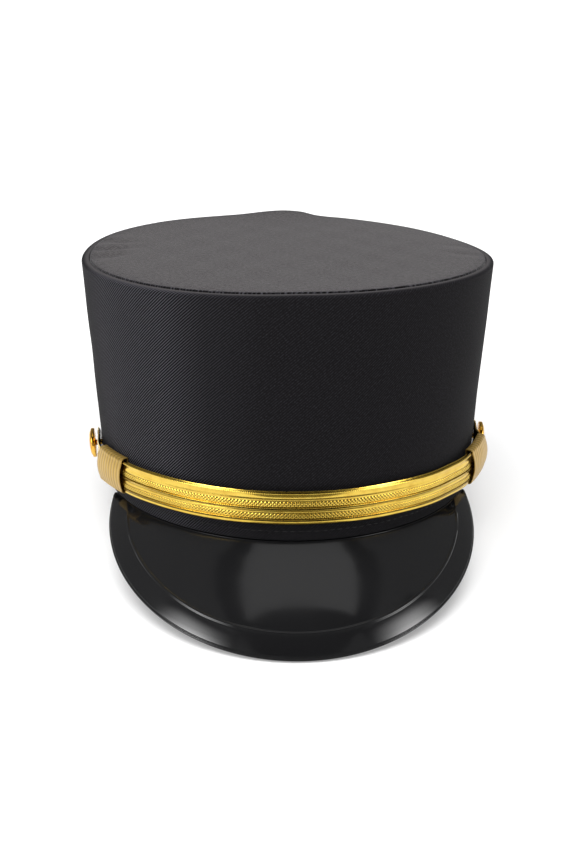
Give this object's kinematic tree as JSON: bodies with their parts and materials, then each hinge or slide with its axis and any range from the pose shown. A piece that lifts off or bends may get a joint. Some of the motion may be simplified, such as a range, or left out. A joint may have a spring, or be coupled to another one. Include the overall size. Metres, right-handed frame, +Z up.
{
  "type": "railway conductor cap",
  "caption": "Tall flared oval cloth cap with a flat top, a glossy moulded peak and a gold chin strap held by keepers and side buttons.",
  "frame": {"origin": "middle of the bounding box's base, on the floor under the resting cap", "axes": "+Z up, the cap's front and peak look along -Y, +X to the wearer's left"},
  "size_m": [0.1912, 0.2718, 0.1407],
  "materials": {
    "side_cloth": "black twill, matte",
    "top_cloth": "black twill, matte, finer ribs",
    "peak_vinyl": "black patent vinyl, glossy, with an embossed ridge",
    "strap_gold": "metallic gold lace, ribbed and knurled",
    "keeper_gold": "pale metallic gold lace, finely ribbed across",
    "button_gold": "polished gilt dome"
  },
  "bodies": {
    "root": {"crown_wall": "side_cloth", "crown_top": "top_cloth", "peak": "peak_vinyl", "strap_outer": "strap_gold", "strap_under": "strap_gold", "keeper_left": "keeper_gold", "keeper_right": "keeper_gold", "button_left": "button_gold", "button_right": "button_gold"}
  },
  "joints": []
}
